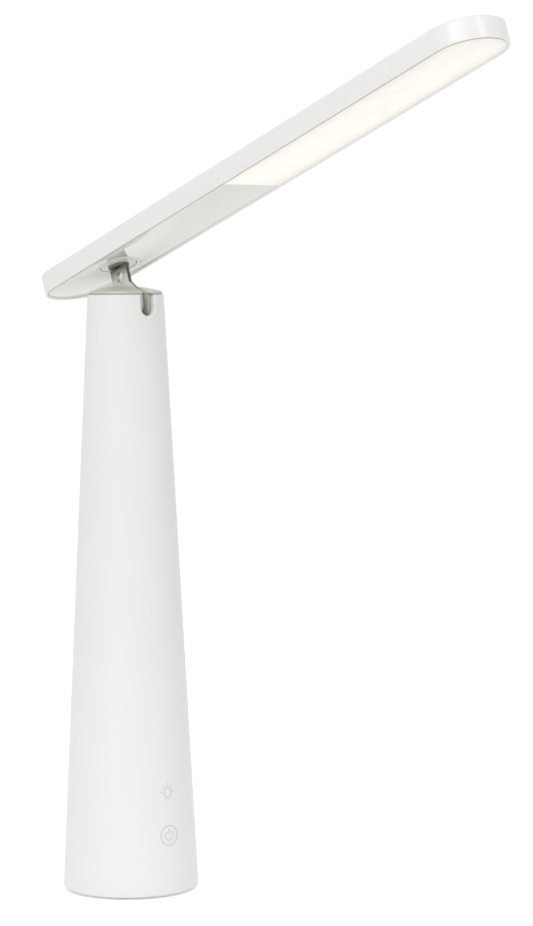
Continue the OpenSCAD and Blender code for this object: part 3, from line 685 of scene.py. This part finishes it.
def roundSlot(bm, shape, outerEdge, innerEdge):
    # the slot's rounded edge, ring by ring, and then its flat wall
    steps, reach, middle = shape["edgeSteps"], shape["slotEdge"], shape["slotMiddle"]
    rings = [outerEdge]
    for step in range(1, steps + 1):
        swing = math.pi / 2 * step / steps
        inward, depth = reach * math.sin(swing), reach * (1 - math.cos(swing))
        ring = []
        for vert in outerEdge:
            x, z = vert.co.x, vert.co.z
            aside = Vector((math.copysign(1, x), 0))
            outward = aside if z >= middle else Vector((x, z - middle)).normalized()
            x, z = x - outward.x * inward, z - outward.y * inward
            y = -math.sqrt(columnRadius(shape, z) ** 2 - x * x) + depth
            ring.append(bm.verts.new((x, y, z)))
        rings.append(ring)
    rings.append(innerEdge)
    for first, second in zip(rings, rings[1:]):
        joinStrip(bm, first, second)
    return rings


def roundFoot(bm, shape, outer):
    # the rounded lower edge, ring by ring, of which the last one is given back
    slope = math.atan2(shape["footRadius"] - shape["rimRadius"], shape["height"])
    steps, edge = shape["edgeSteps"], shape["footEdge"]
    last = [line[0] for line in outer]
    for step in range(1, steps + 1):
        swing = slope + (math.pi / 2 - slope) * step / steps
        height = shape["stand"] + edge - edge * math.sin(swing)
        ring = []
        for line in outer:
            base = line[0].co
            radius = math.hypot(base.x, base.y)
            shrunk = (radius - edge / math.cos(slope) + edge * math.cos(swing)) / radius
            ring.append(bm.verts.new((base.x * shrunk, base.y * shrunk, height)))
        joinLoop(bm, last, ring)
        last = ring
    return last


def makeColumn(shape, hole):
    bm = bmesh.new()
    outer, outerEdge = wallGrid(bm, shape, 0, shape["slotEdge"])
    inner, innerEdge = wallGrid(bm, shape, shape["wall"], 0)
    joinGrid(bm, outer, False)
    joinGrid(bm, inner, True)
    rings = roundSlot(bm, shape, outerEdge, innerEdge)
    # the rim's top, and its corners beside the slot
    sideStart = shape["slotColumns"] - 1
    joinStrip(bm, [line[-1] for line in outer[sideStart:]], [line[-1] for line in inner[sideStart:]])
    for end in (0, -1):
        bm.faces.new([ring[end] for ring in rings])
    joinLoop(bm, roundFoot(bm, shape, outer), [line[0] for line in inner])
    column = pieceFromMesh("columnWall", bm, "white_shell")
    cutAway(column, portCutter(shape, hole))
    softenEdges(column, shape["softEdge"], shape["softSteps"], shape["softAngle"])
    smoothPiece(column)
    finishPiece(column, "column", "white_shell", "column_shell")
    return column


def portCutter(shape, hole):
    # a bar with round sides, which lies along Y
    radius, straight = hole["height"] / 2, (hole["width"] - hole["height"]) / 2
    outline = []
    for side in (1, -1):
        for step in range(hole["steps"] + 1):
            swing = math.pi * step / hole["steps"] - math.pi / 2
            outline.append((side * (straight + radius * math.cos(swing)), side * radius * math.sin(swing)))
    ends = (shape["footRadius"] * hole["near"], shape["footRadius"] * hole["far"])
    near, far = ([(x, y, hole["middle"] + z) for x, z in outline] for y in ends)
    return barBetween("portCutter", "white_shell", near, far)


column = makeColumn(columnShape, portHole)
print("column made:", len(column.data.polygons), "faces")


# top cap: a shallow dome with a flat flange, slotted for the arm

capShape = {
    "radius": 17.1 * mm,
    "bottom": 280 * mm,
    "edge": 1.5 * mm,            # thickness of its flange
    "dome": 2.5 * mm,            # height of the dome above it
    "domeSteps": 16,
    "sides": 144,
    "slotHalf": 2.8 * mm,
    "slotBack": 13.8 * mm,
    "slotSteps": 24,
    "slotAhead": 1.3,            # how far ahead the slot is cut, as a share of the radius
    "cutBelow": 5 * mm,
    "cutAbove": 20 * mm,
    "softEdge": 0.22 * mm,
    "softSteps": 3,
    "softAngle": 30,
    "domePaintedLight": 0.4,            # painted light: the dome, in the head's shade, is a little paler than the flange, and the slot's walls, in the blade's shade, fully
    "upward": 0.5,               # a face that looks up more than this is part of the dome
    "upright": 0.3,              # and one that looks up less than this is a wall
    "wallGap": 0.1 * mm,         # a wall this near to the slot's half is one of its walls
}


def turnedMesh(profile, sides):
    # turns a closed profile of (radius, height) about the Z axis
    bm = bmesh.new()
    rings = []
    for radius, height in profile:
        if radius < mergeGap:
            rings.append([bm.verts.new((0, 0, height))] * sides)
            continue
        turn = [2 * math.pi * i / sides for i in range(sides)]
        rings.append([bm.verts.new((radius * math.cos(a), radius * math.sin(a), height)) for a in turn])
    for first, second in zip(rings, rings[1:]):
        for i in range(sides):
            j = (i + 1) % sides
            corners = [first[i], first[j], second[j], second[i]]
            kept = [v for k, v in enumerate(corners) if v not in corners[:k]]
            if len(kept) > 2:
                bm.faces.new(kept)
    return bm


def makeCap(shape):
    rise = (shape["radius"] ** 2 + shape["dome"] ** 2) / (2 * shape["dome"])
    profile = [(0, shape["bottom"]), (shape["radius"], shape["bottom"])]
    for step in range(shape["domeSteps"] + 1):
        radius = shape["radius"] * (1 - step / shape["domeSteps"])
        height = math.sqrt(rise ** 2 - radius ** 2) - rise + shape["dome"]
        profile.append((radius, shape["bottom"] + shape["edge"] + height))
    cap = pieceFromMesh("topCap", turnedMesh(profile, shape["sides"]), "cap_metal")
    cutAway(cap, slotCutter(shape))
    softenEdges(cap, shape["softEdge"], shape["softSteps"], shape["softAngle"])
    smoothPiece(cap)
    markFaces(cap, "paler", lambda face: capTone(face, shape))
    finishPiece(cap, "column", "cap_metal", "top_cap")
    return cap


def capTone(face, shape):
    # how much painted light a face gets, lifting the shade of the head and the blade
    nearSlot = abs(face.center.x) < shape["slotHalf"] + shape["wallGap"] and face.center.y < shape["slotBack"]
    if nearSlot and abs(face.normal.z) < shape["upright"]:
        return 1
    return shape["domePaintedLight"] if face.normal.z > shape["upward"] else 0


def slotCutter(shape):
    # an upright bar with a round rear end, where the arm passes through the cap
    half, back = shape["slotHalf"], shape["slotBack"] - shape["slotHalf"]
    front = -shape["radius"] * shape["slotAhead"]
    outline = [(half, front), (half, back)]
    for step in range(1, shape["slotSteps"]):
        swing = math.pi * step / shape["slotSteps"]
        outline.append((half * math.cos(swing), back + half * math.sin(swing)))
    outline += [(-half, back), (-half, front)]
    ends = (shape["bottom"] - shape["cutBelow"], shape["bottom"] + shape["cutAbove"])
    lower, upper = ([(x, y, z) for x, y in outline] for z in ends)
    return barBetween("capCutter", "cap_metal", lower, upper)


cap = makeCap(capShape)
print("cap made:", len(cap.data.polygons), "faces")


# head shell: a rounded slab, swept by nodes along its own outline

headShape = {
    "Length": 319.5 * mm,
    "Tail": 49 * mm,
    "Width": 35.5 * mm,
    "Thickness": 9.5 * mm,
    "Corner": 17 * mm,
    "Top Edge": 0.8 * mm,
    "Top Start": 0.4 * mm,       # how far past that edge the wall reaches over the top
    "Lip Edge": 0.22 * mm,
    "Rim": 1.2 * mm,
    "Seat": 1.8 * mm,            # height of the ledge that the under cover lies against
    "Ledge": 0.8 * mm,
    "Roof": 1.6 * mm,
    "Corner Steps": 30,
    "Edge Steps": 6,
    "Weld": 0.01 * mm,           # points closer than this become one
}
lipHeight = 1.2 * mm             # below this the head's wall gets painted light, a paler colour


class NodeTree:
    # a Geometry Nodes tree with named inputs

    def __init__(self, name, sizes, material):
        self.tree = bpy.data.node_groups.new(name, "GeometryNodeTree")
        face = self.tree.interface
        face.new_socket(name="Geometry", in_out="OUTPUT", socket_type="NodeSocketGeometry")
        self.values = {}
        for title, value in sizes.items():
            whole = isinstance(value, int)
            kind = "NodeSocketInt" if whole else "NodeSocketFloat"
            socket = face.new_socket(name=title, in_out="INPUT", socket_type=kind)
            self.values[socket.identifier] = value
        socket = face.new_socket(name="Finish", in_out="INPUT", socket_type="NodeSocketMaterial")
        self.values[socket.identifier] = material
        self.inputs = self.tree.nodes.new("NodeGroupInput").outputs

    def add(self, kind, **settings):
        return addNode(self.tree, kind, **settings)

    def given(self, value):
        # an input by its name, and anything else as it is
        return self.inputs[value] if isinstance(value, str) else value

    def feed(self, socket, value):
        value = self.given(value)
        if isinstance(value, bpy.types.NodeSocket):
            self.tree.links.new(value, socket)
        else:
            socket.default_value = value

    def math(self, operation, *values):
        return addMath(self.tree, operation, *[self.given(value) for value in values])

    def vector(self, x=0.0, y=0.0, z=0.0):
        node = self.add("ShaderNodeCombineXYZ")
        for socket, value in zip(node.inputs, (x, y, z)):
            self.feed(socket, value)
        return node.outputs[0]

    def slabOutline(self, inset):
        # the head's outline seen from above, drawn in by the inset
        twice = self.math("MULTIPLY", inset, 2.0)
        slab = self.add("GeometryNodeCurvePrimitiveQuadrilateral", mode="RECTANGLE")
        self.feed(slab.inputs["Width"], self.math("SUBTRACT", "Width", twice))
        self.feed(slab.inputs["Height"], self.math("SUBTRACT", "Length", twice))
        shift = self.add("GeometryNodeTransform")
        self.feed(shift.inputs["Geometry"], slab.outputs["Curve"])
        middle = self.math("SUBTRACT", "Tail", self.math("DIVIDE", "Length", 2.0))
        self.feed(shift.inputs["Translation"], self.vector(y=middle))
        outline = self.add("GeometryNodeFilletCurve", mode="POLY")
        self.feed(outline.inputs["Curve"], shift.outputs["Geometry"])
        self.feed(outline.inputs["Radius"], self.math("SUBTRACT", "Corner", inset))
        self.feed(outline.inputs["Count"], "Corner Steps")
        outline.inputs["Limit Radius"].default_value = True
        upright = self.add("GeometryNodeSetCurveNormal", mode="Z_UP")
        self.feed(upright.inputs["Curve"], outline.outputs["Curve"])
        return upright.outputs["Curve"]

    def end(self, geometry):
        # the tree's last nodes: real meshes, with the finish
        real = self.add("GeometryNodeRealizeInstances")
        self.feed(real.inputs["Geometry"], geometry)
        coat = self.add("GeometryNodeSetMaterial")
        self.feed(coat.inputs["Geometry"], real.outputs["Geometry"])
        self.feed(coat.inputs["Material"], "Finish")
        out = self.add("NodeGroupOutput")
        self.feed(out.inputs[0], coat.outputs["Geometry"])

    def build(self, name, weld):
        # runs the tree on an empty mesh, whose result becomes a plain piece in the head's place
        piece = bpy.data.objects.new(name, bpy.data.meshes.new(name))
        scene.collection.objects.link(piece)
        modifier = piece.modifiers.new("nodes", "NODES")
        modifier.node_group = self.tree
        for identifier, value in self.values.items():
            modifier[identifier] = value
        piece.update_tag()
        applyModifiers(piece)
        piece.data.transform(headFrame)
        bm = bmesh.new()
        bm.from_mesh(piece.data)
        bmesh.ops.remove_doubles(bm, verts=bm.verts, dist=weld)
        bmesh.ops.recalc_face_normals(bm, faces=bm.faces)
        print(name, "open edges:", sum(1 for edge in bm.edges if len(edge.link_faces) != 2))
        bm.to_mesh(piece.data)
        bm.free()
        smoothPiece(piece)
        return piece


def headTree(shape):
    shell = NodeTree("headShellTree", shape, finishes["head_plastic"])
    add, feed, calc, vector = shell.add, shell.feed, shell.math, shell.vector
    # the section of its wall, from the cavity round to the top
    cavity = calc("ADD", "Rim", "Ledge")
    roof = calc("SUBTRACT", "Thickness", "Roof")
    topStart = calc("ADD", "Top Edge", "Top Start")
    corners = [
        (calc("MULTIPLY", cavity, -1.0), roof, 0.0),
        (calc("MULTIPLY", cavity, -1.0), "Seat", 0.0),
        (calc("MULTIPLY", "Rim", -1.0), "Seat", 0.0),
        (calc("MULTIPLY", "Rim", -1.0), 0.0, "Lip Edge"),
        (0.0, 0.0, "Lip Edge"),
        (0.0, "Thickness", "Top Edge"),
        (calc("MULTIPLY", topStart, -1.0), "Thickness", 0.0),
    ]
    line = add("GeometryNodeMeshLine", mode="OFFSET")
    line.inputs["Count"].default_value = len(corners)
    thread = add("GeometryNodeMeshToCurve")
    feed(thread.inputs["Mesh"], line.outputs["Mesh"])
    index = add("GeometryNodeInputIndex").outputs[0]
    spots = add("GeometryNodeIndexSwitch", data_type="VECTOR")
    rounds = add("GeometryNodeIndexSwitch", data_type="FLOAT")
    while len(spots.index_switch_items) < len(corners):
        spots.index_switch_items.new()
        rounds.index_switch_items.new()
    feed(spots.inputs["Index"], index)
    feed(rounds.inputs["Index"], index)
    for number, (out, height, radius) in enumerate(corners):
        feed(spots.inputs[str(number)], vector(x=out, y=height))
        feed(rounds.inputs[str(number)], radius)
    placed = add("GeometryNodeSetPosition")
    feed(placed.inputs["Geometry"], thread.outputs["Curve"])
    feed(placed.inputs["Position"], spots.outputs[0])
    section = add("GeometryNodeFilletCurve", mode="POLY")
    feed(section.inputs["Curve"], placed.outputs["Geometry"])
    feed(section.inputs["Radius"], rounds.outputs[0])
    feed(section.inputs["Count"], "Edge Steps")
    turned = add("GeometryNodeTransform")    # the sweep hangs its section upside down
    feed(turned.inputs["Geometry"], section.outputs["Curve"])
    turned.inputs["Scale"].default_value = (1, -1, 1)
    swept = add("GeometryNodeCurveToMesh")
    feed(swept.inputs["Curve"], shell.slabOutline(0.0))
    feed(swept.inputs["Profile Curve"], turned.outputs["Geometry"])
    # its two open rims are filled: the top face, and the roof over the cavity
    neighbours = add("GeometryNodeInputMeshEdgeNeighbors")
    onRim = add("FunctionNodeCompare", data_type="INT", operation="EQUAL")
    feed(onRim.inputs[2], neighbours.outputs["Face Count"])
    feed(onRim.inputs[3], 1)
    height = add("ShaderNodeSeparateXYZ")
    feed(height.inputs[0], add("GeometryNodeInputPosition").outputs[0])
    join = add("GeometryNodeJoinGeometry")
    feed(join.inputs[0], swept.outputs["Mesh"])
    between = calc("SUBTRACT", "Thickness", calc("DIVIDE", "Roof", 2.0))
    for side, level in (("GREATER_THAN", "Thickness"), ("LESS_THAN", roof)):
        both = add("FunctionNodeBooleanMath", operation="AND")
        feed(both.inputs[0], onRim.outputs[0])
        feed(both.inputs[1], calc(side, height.outputs["Z"], between))
        loop = add("GeometryNodeMeshToCurve")
        feed(loop.inputs["Mesh"], swept.outputs["Mesh"])
        feed(loop.inputs["Selection"], both.outputs[0])
        lid = add("GeometryNodeFillCurve", mode="NGONS")
        feed(lid.inputs["Curve"], loop.outputs["Curve"])
        lift = add("GeometryNodeTransform")
        feed(lift.inputs["Geometry"], lid.outputs["Mesh"])
        feed(lift.inputs["Translation"], vector(z=level))
        feed(join.inputs[0], lift.outputs["Geometry"])
    weld = add("GeometryNodeMergeByDistance")
    feed(weld.inputs["Geometry"], join.outputs[0])
    feed(weld.inputs["Distance"], "Weld")
    shell.end(weld.outputs["Geometry"])
    return shell


def makeHead(shape):
    head = headTree(shape).build("headShell", shape["Weld"])
    # painted light: the lip's faces take a paler colour
    markFaces(head, "lip", lambda face: (toHead @ face.center).z < lipHeight)
    finishPiece(head, "head", "white_shell", "head_shell")
    return head


head = makeHead(headShape)
print("head made:", len(head.data.polygons), "faces")


# seam bead: the thin raised edge round the underside's plates

seamBead = {
    "Inset": 1.8 * mm,           # from the head's side to the bead's middle
    "Bead Width": 0.5 * mm,
    "Bead Height": 0.44 * mm,
    "Bead Middle": 0.13 * mm,    # height above the head's rim
    "Bead Round": 0.08 * mm,
    "Round Steps": 3,
}
seamSide = 0.5                   # a face of the bead that looks outwards more than this gets painted seam shadow, a darker colour


def makeBead(shape, bead):
    line = NodeTree("seamBeadTree", {**shape, **bead}, finishes["bead_gloss"])
    add, feed = line.add, line.feed
    section = add("GeometryNodeCurvePrimitiveQuadrilateral", mode="RECTANGLE")
    feed(section.inputs["Width"], "Bead Width")
    feed(section.inputs["Height"], "Bead Height")
    softened = add("GeometryNodeFilletCurve", mode="POLY")
    feed(softened.inputs["Curve"], section.outputs["Curve"])
    feed(softened.inputs["Radius"], "Bead Round")
    feed(softened.inputs["Count"], "Round Steps")
    lowered = add("GeometryNodeTransform")
    feed(lowered.inputs["Geometry"], softened.outputs["Curve"])
    feed(lowered.inputs["Translation"], line.vector(y=line.math("MULTIPLY", "Bead Middle", -1.0)))
    swept = add("GeometryNodeCurveToMesh")
    feed(swept.inputs["Curve"], line.slabOutline("Inset"))
    feed(swept.inputs["Profile Curve"], lowered.outputs["Geometry"])
    line.end(swept.outputs["Mesh"])
    piece = line.build("seamBead", shape["Weld"])
    # painted seam shadow on the bead's outward faces
    markFaces(piece, "seam", lambda face: looksOutward(face, shape))
    finishPiece(piece, "head", "white_gloss")
    return piece


def looksOutward(face, shape):
    # true on the side of the bead that looks away from the head's middle line
    place, facing = toHead @ face.center, toHead.to_3x3() @ face.normal
    tip = shape["Length"] - shape["Tail"] - shape["Corner"]
    tail = shape["Tail"] - shape["Corner"]
    spine = Vector((0, min(tail, max(-tip, place.y)), place.z))
    return facing.dot((place - spine).normalized()) > seamSide


bead = makeBead(headShape, seamBead)
print("seam bead made:", len(bead.data.polygons), "faces")


# smaller pieces: the CAD shapes with their edges rounded

softEdges = {
    "flatAngle": 0.4,            # degrees; faces that meet at less than this are joined first
    "steps": 3,
    "angle": 40,                 # edges sharper than this are rounded
}

# painted shade and dark reflection on the blade's cut edges: full above the cap's dome, half down to the cap,
# faint below it; not on its faces nor the window's edge
armEdge = {
    "tones": ((285.2 * mm, 1), (281.2 * mm, 0.5), (0, 0.2)),    # how much painted shade it has from each height up
    "windowUp": 13.1 * mm,       # from the hinge's axis
    "windowRadius": 2.9 * mm,
    "sideways": 0.5,             # a face that looks sideways more than this isn't a cut edge
}


def cutEdgeTone(face):
    windowCentre = Vector(joints["fold"]["pos_m"]) + headUp * armEdge["windowUp"]
    away = (face.center - windowCentre).length
    if abs(face.normal.x) > armEdge["sideways"] or away < armEdge["windowRadius"]:
        return 0
    return next(tone for height, tone in armEdge["tones"] if face.center.z > height)


def softenedCopy(nodeName, pieceName, body, slotName, edge, marks):
    # a CAD node's shape with its sharp edges softly rounded, which stands for that node
    bm = bmesh.new()
    bm.from_mesh(nodes[nodeName].data)
    bmesh.ops.remove_doubles(bm, verts=bm.verts, dist=mergeGap)
    flat = math.radians(softEdges["flatAngle"])
    bmesh.ops.dissolve_limit(bm, angle_limit=flat, verts=bm.verts, edges=bm.edges)
    piece = pieceFromMesh(pieceName, bm, slotName)
    softenEdges(piece, edge, softEdges["steps"], softEdges["angle"])
    smoothPiece(piece)
    if marks:
        markFaces(piece, *marks)
    finishPiece(piece, body, slotName, nodeName)


# piece, body, finish, how far its edges are rounded, and marks on its faces
softPieces = {
    "hinge_arm": ("hingeArm", "arm", "arm_metal", 0.25 * mm, ("cutEdgeShade", cutEdgeTone)),
    "swivel_collar": ("swivelCollar", "arm", "dark_nylon", 0.2 * mm, None),
    "swivel_disc": ("swivelDisc", "arm", "white_gloss", 0.25 * mm, None),
    "swivel_ring": ("swivelRing", "head", "white_gloss", 0.3 * mm, None),
    "under_cover": ("underCover", "head", "white_gloss", 0.15 * mm, None),
    "diffuser": ("litDiffuser", "head", "panel_diffuser", 0.15 * mm, None),
    "foot_pad": ("footPad", "column", "foot_rubber", 0.4 * mm, None),
    "base_cover": ("baseCover", "column", "cover_plastic", 0.3 * mm, None),
}
for nodeName, look in softPieces.items():
    softenedCopy(nodeName, *look)
print("small pieces made:", len(softPieces))


# touch signs: a bulb with rays and a ring with a stroke, printed on the column

signPrint = {
    "line": 0.55 * mm,
    "raise": 0.03 * mm,
    "bury": 0.05 * mm,
    "bulbMiddle": 49.3 * mm,     # heights above the table
    "ringMiddle": 28.9 * mm,
    "bulb": (2.1 * mm, -50, 230, 28),       # arcs: radius, first and last angle, steps
    "ring": (4.6 * mm, 0, 360, 72),
    "hook": (2.2 * mm, -235, 55, 40),
    "neckHalf": 1.0 * mm,
    "neckDrop": 2.9 * mm,
    "rayTurns": (0, 45, 90, 135, 180),
    "rayReach": (3.1 * mm, 4.0 * mm),
    "dashReach": (0.6 * mm, 2.9 * mm),      # of the upright dash inside the ring
}
signInk = {"colour": (0.65, 0.65, 0.64), "roughness": 0.4}


def arcPoints(middle, radius, start, end, steps):
    turns = [math.radians(start + (end - start) * i / steps) for i in range(steps + 1)]
    return [(radius * math.cos(a), middle + radius * math.sin(a)) for a in turns]


def signStrokes(shape):
    # the strokes of both signs, as lines of (x, z) points
    top, low = shape["bulbMiddle"], shape["ringMiddle"]
    neckLeft, neckRight = ((x, top - shape["neckDrop"]) for x in (-shape["neckHalf"], shape["neckHalf"]))
    strokes = [[neckRight] + arcPoints(top, *shape["bulb"]) + [neckLeft], [neckLeft, neckRight]]
    for turn in shape["rayTurns"]:
        a = math.radians(turn)
        strokes.append([(reach * math.cos(a), top + reach * math.sin(a)) for reach in shape["rayReach"]])
    strokes.append(arcPoints(low, *shape["ring"]))
    strokes.append(arcPoints(low, *shape["hook"]))
    strokes.append([(0, low + reach) for reach in shape["dashReach"]])
    return strokes


def makeSigns(shape, column):
    bm = bmesh.new()
    half = shape["line"] / 2

    def onWall(x, z, out):
        radius = columnRadius(column, z) + out
        angle = x / radius
        return bm.verts.new((radius * math.sin(angle), -radius * math.cos(angle), z))

    for stroke in signStrokes(shape):
        closed = math.dist(stroke[0], stroke[-1]) < mergeGap
        path = stroke[:-1] if closed else stroke
        rows = []
        for i, (x, z) in enumerate(path):
            before = path[i - 1] if i > 0 or closed else path[i]
            after = path[(i + 1) % len(path)] if i < len(path) - 1 or closed else path[i]
            along = Vector((after[0] - before[0], after[1] - before[1])).normalized()
            side = Vector((-along.y, along.x)) * half
            rows.append([
                onWall(x + side.x, z + side.y, shape["raise"]),
                onWall(x - side.x, z - side.y, shape["raise"]),
                onWall(x - side.x, z - side.y, -shape["bury"]),
                onWall(x + side.x, z + side.y, -shape["bury"]),
            ])
        pairs = list(zip(rows, rows[1:])) + ([(rows[-1], rows[0])] if closed else [])
        for first, second in pairs:
            joinLoop(bm, first, second)
        if not closed:
            bm.faces.new(rows[0])
            bm.faces.new(rows[-1])
    signs = pieceFromMesh("touchSigns", bm, "sign_print")
    finishPiece(signs, "column", "white_shell")
    return signs


finishes["sign_print"] = mouldedPlastic("signPrintFinish", signInk)
signs = makeSigns(signPrint, columnShape)
print("touch signs made:", len(signs.data.polygons), "faces")
